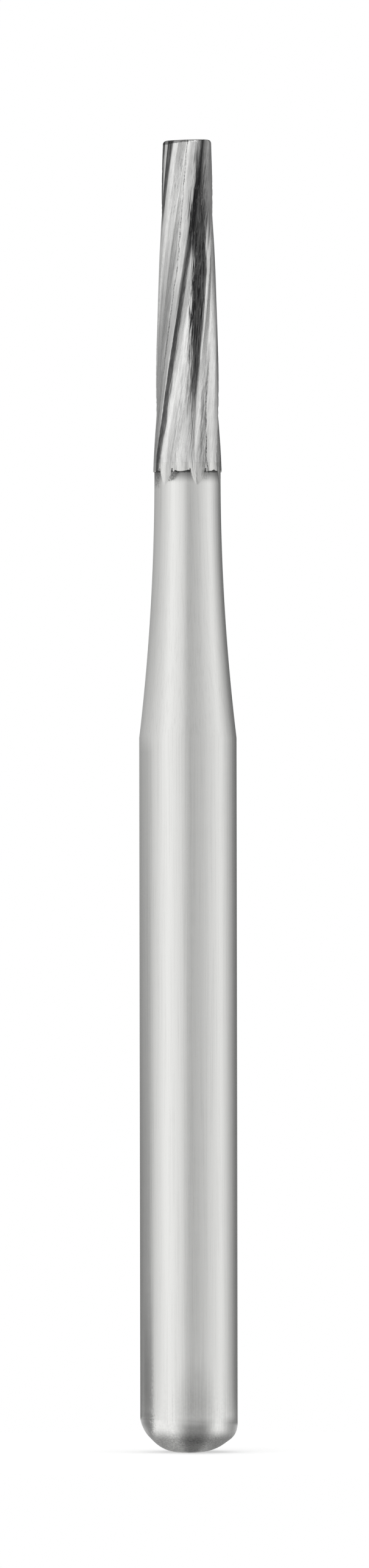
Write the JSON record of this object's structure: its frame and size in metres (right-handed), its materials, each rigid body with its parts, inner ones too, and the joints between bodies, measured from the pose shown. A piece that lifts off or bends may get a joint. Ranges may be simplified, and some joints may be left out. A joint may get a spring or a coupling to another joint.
{
  "type": "dental bur",
  "caption": "Tapered fissure bur: a straight-ended carbide head with spiral flutes, joined end to end to a steel friction-grip shank.",
  "frame": {"origin": "on the axis, at the lowest point of the shank's rounded foot", "axes": "+Z along the axis towards the working tip; -Y faces the viewer of the picture"},
  "size_m": [0.0016, 0.0016, 0.0216],
  "materials": {
    "carbide": "ground tungsten carbide with fine grinding lines along the flutes",
    "steel": "fine ground stainless steel"
  },
  "bodies": {
    "root": {"cutting_head": "carbide", "shank": "steel"}
  },
  "joints": []
}
